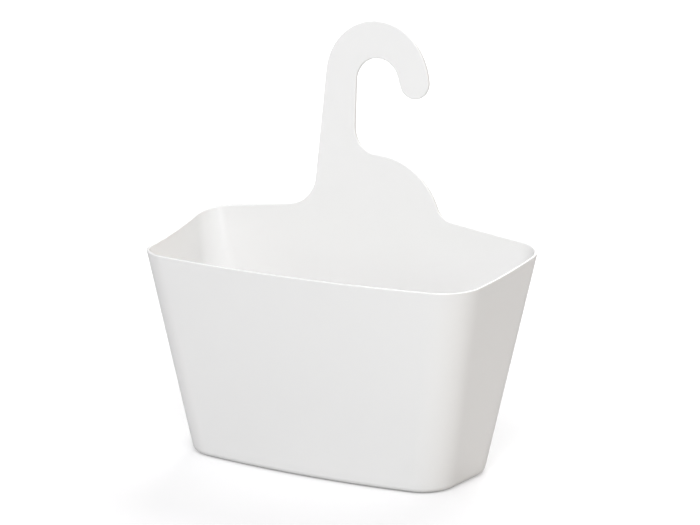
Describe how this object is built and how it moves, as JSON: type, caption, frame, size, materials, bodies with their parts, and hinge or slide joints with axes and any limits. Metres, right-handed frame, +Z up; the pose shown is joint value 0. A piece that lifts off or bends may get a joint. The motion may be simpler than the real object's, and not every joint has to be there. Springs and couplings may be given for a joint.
{
  "type": "shower caddy",
  "caption": "Tapered open plastic tub whose flat back wall rises into a one-sided hook, for hanging bath bottles from a shower rail or pipe.",
  "frame": {"origin": "on the plane the tub stands on, under the middle of the whole caddy's width and depth", "axes": "+Z up, +X to the right seen from the front, +Y towards the back wall and the hook, so the front faces -Y"},
  "size_m": [0.2796, 0.1324, 0.3123],
  "materials": {
    "white_plastic": "smooth satin-gloss white injection-moulded polypropylene"
  },
  "bodies": {
    "root": {"floor_tray": "white_plastic", "front_wall": "white_plastic", "right_wall": "white_plastic", "back_wall": "white_plastic", "left_wall": "white_plastic", "hook_neck": "white_plastic", "hook_stem": "white_plastic", "hook_crook": "white_plastic"}
  },
  "joints": []
}
